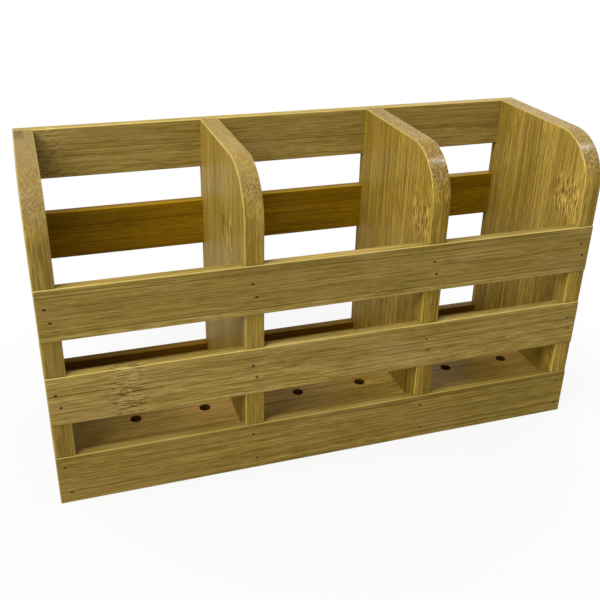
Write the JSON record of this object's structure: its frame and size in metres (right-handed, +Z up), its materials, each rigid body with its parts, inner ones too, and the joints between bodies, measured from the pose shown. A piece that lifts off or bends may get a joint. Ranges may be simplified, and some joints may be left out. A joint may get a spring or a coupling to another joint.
{
  "type": "utensil caddy",
  "caption": "Open bamboo utensil caddy: rounded end panels and dividers, horizontal slats let into the panel edges front and back, raised drained floor.",
  "frame": {"origin": "middle of the footprint, on the surface the caddy stands on", "axes": "+X along the length to the user's right, +Y to the back, +Z up"},
  "size_m": [0.29, 0.096, 0.166],
  "materials": {
    "panel_bamboo": "sanded laminated bamboo, clear satin lacquer",
    "slat_bamboo": "sanded bamboo strip, clear satin lacquer",
    "floor_bamboo": "sanded laminated bamboo, matt lacquer",
    "brad_steel": "bare steel wire"
  },
  "bodies": {
    "root": {"left_end_panel": "panel_bamboo", "left_divider": "panel_bamboo", "right_divider": "panel_bamboo", "right_end_panel": "panel_bamboo", "front_top_slat": "slat_bamboo", "front_middle_slat": "slat_bamboo", "front_bottom_slat": "slat_bamboo", "back_top_slat": "slat_bamboo", "back_middle_slat": "slat_bamboo", "back_bottom_slat": "slat_bamboo", "left_floor_board": "floor_bamboo", "middle_floor_board": "floor_bamboo", "right_floor_board": "floor_bamboo", "front_top_brads": "brad_steel", "front_middle_brads": "brad_steel", "front_bottom_brads": "brad_steel", "back_top_brads": "brad_steel", "back_middle_brads": "brad_steel", "back_bottom_brads": "brad_steel"}
  },
  "joints": []
}
